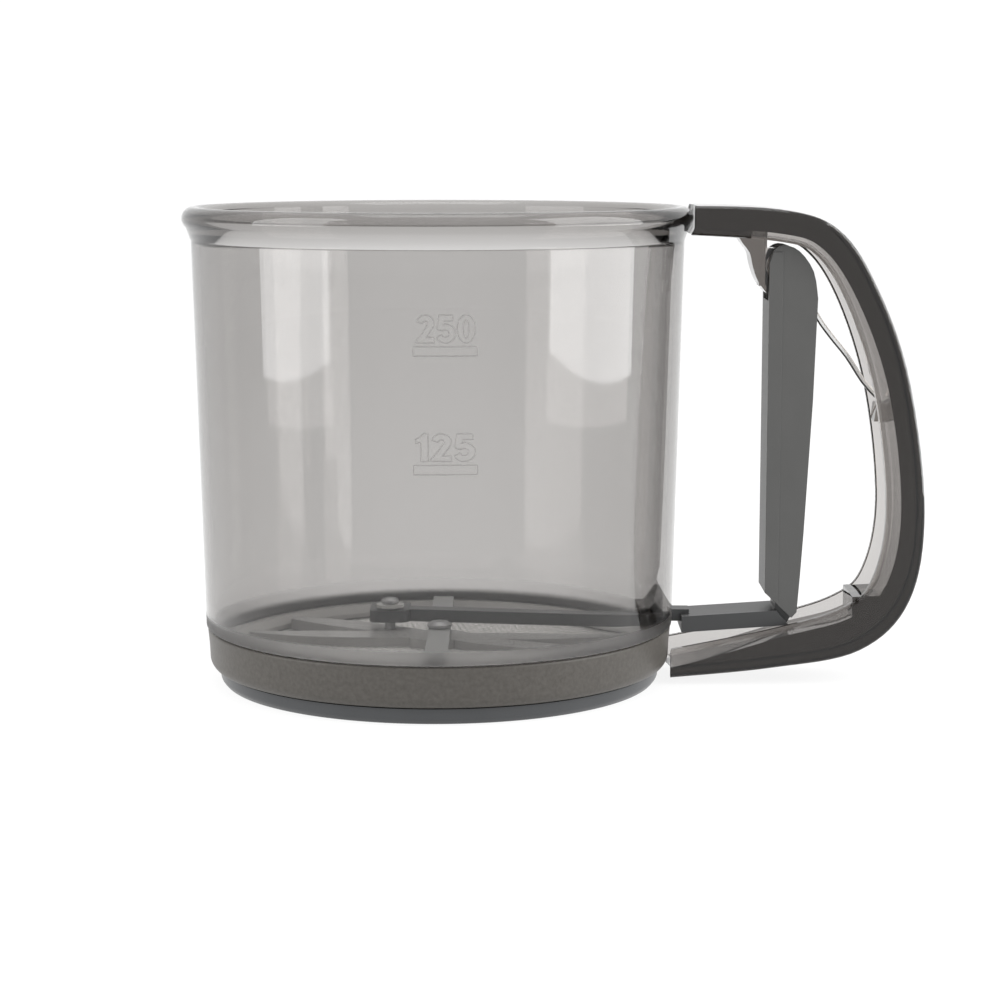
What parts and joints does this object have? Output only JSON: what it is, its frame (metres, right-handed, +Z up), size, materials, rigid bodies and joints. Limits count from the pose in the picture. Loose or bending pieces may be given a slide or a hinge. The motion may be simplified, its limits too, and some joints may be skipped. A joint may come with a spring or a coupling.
{
  "type": "flour sifter",
  "caption": "Clear cup with a mesh floor and a swinging lever in its handle that pulls a rod and turns a bladed agitator over the mesh.",
  "frame": {"origin": "on the table plane, under the middle of the whole object's width and depth; the cup's own axis is 24.2 mm towards -X", "axes": "+X from the cup towards the handle, +Y across the handle to the back, +Z up"},
  "size_m": [0.1548, 0.1064, 0.1002],
  "materials": {
    "clear_plastic": "clear smoke-tinted moulded plastic, polished",
    "frosted_plastic": "frosted smoke-tinted plastic",
    "foot_plastic": "satin grey plastic",
    "mesh_steel": "fine woven steel wire",
    "hoop_plastic": "fine matt moulded plastic",
    "bridge_plastic": "light grey moulded plastic",
    "pin_steel": "plain turned steel",
    "agitator_plastic": "satin grey moulded plastic",
    "washer_plastic": "pale natural plastic",
    "handle_plastic": "dark smoke plastic, polished",
    "lever_plastic": "satin grey moulded plastic",
    "spring_steel": "bright drawn wire",
    "rod_plastic": "satin grey moulded plastic"
  },
  "bodies": {
    "cup": {"cup_shell": "clear_plastic", "base_skirt": "frosted_plastic", "foot_ring": "foot_plastic", "mesh_screen": "mesh_steel", "mesh_hoop": "hoop_plastic", "bridge": "bridge_plastic", "bridge_rivet_front": "pin_steel", "bridge_rivet_back": "pin_steel", "agitator_axle": "pin_steel", "axle_clip": "pin_steel", "slot_guide": "hoop_plastic", "handle": "handle_plastic", "lever_pivot_pin": "pin_steel"},
    "lever": {"lever": "lever_plastic", "link_pin": "pin_steel", "return_spring": "spring_steel"},
    "rod": {"pull_rod": "rod_plastic"},
    "agitator": {"agitator": "agitator_plastic", "drive_pin": "pin_steel", "drive_washer": "washer_plastic"}
  },
  "joints": [
    {"name": "lever_squeeze", "type": "hinge", "parent": "cup", "child": "lever", "pos_m": [0.0473, 0, 0.0875], "axis": [0, -1, 0], "range_deg": [0, 5.75], "stiffness_Nm_per_rad": 0.5, "springref_deg": -17.19, "deforming": ["return_spring"]},
    {"name": "rod_link", "type": "hinge", "parent": "lever", "child": "rod", "pos_m": [0.049, 0, 0.018], "axis": [0, -1, 0], "range_deg": [-5.5, 0.1]},
    {"name": "agitator_turn", "type": "hinge", "parent": "cup", "child": "agitator", "pos_m": [-0.0242, 0, 0.0096], "axis": [0, 0, 1], "range_deg": [-35.2, 0.5]}
  ],
  "couplings": [
    {"joint": "rod_link", "follows": "lever_squeeze", "ratio": -0.938},
    {"joint": "agitator_turn", "follows": "lever_squeeze", "ratio": -6.05}
  ]
}
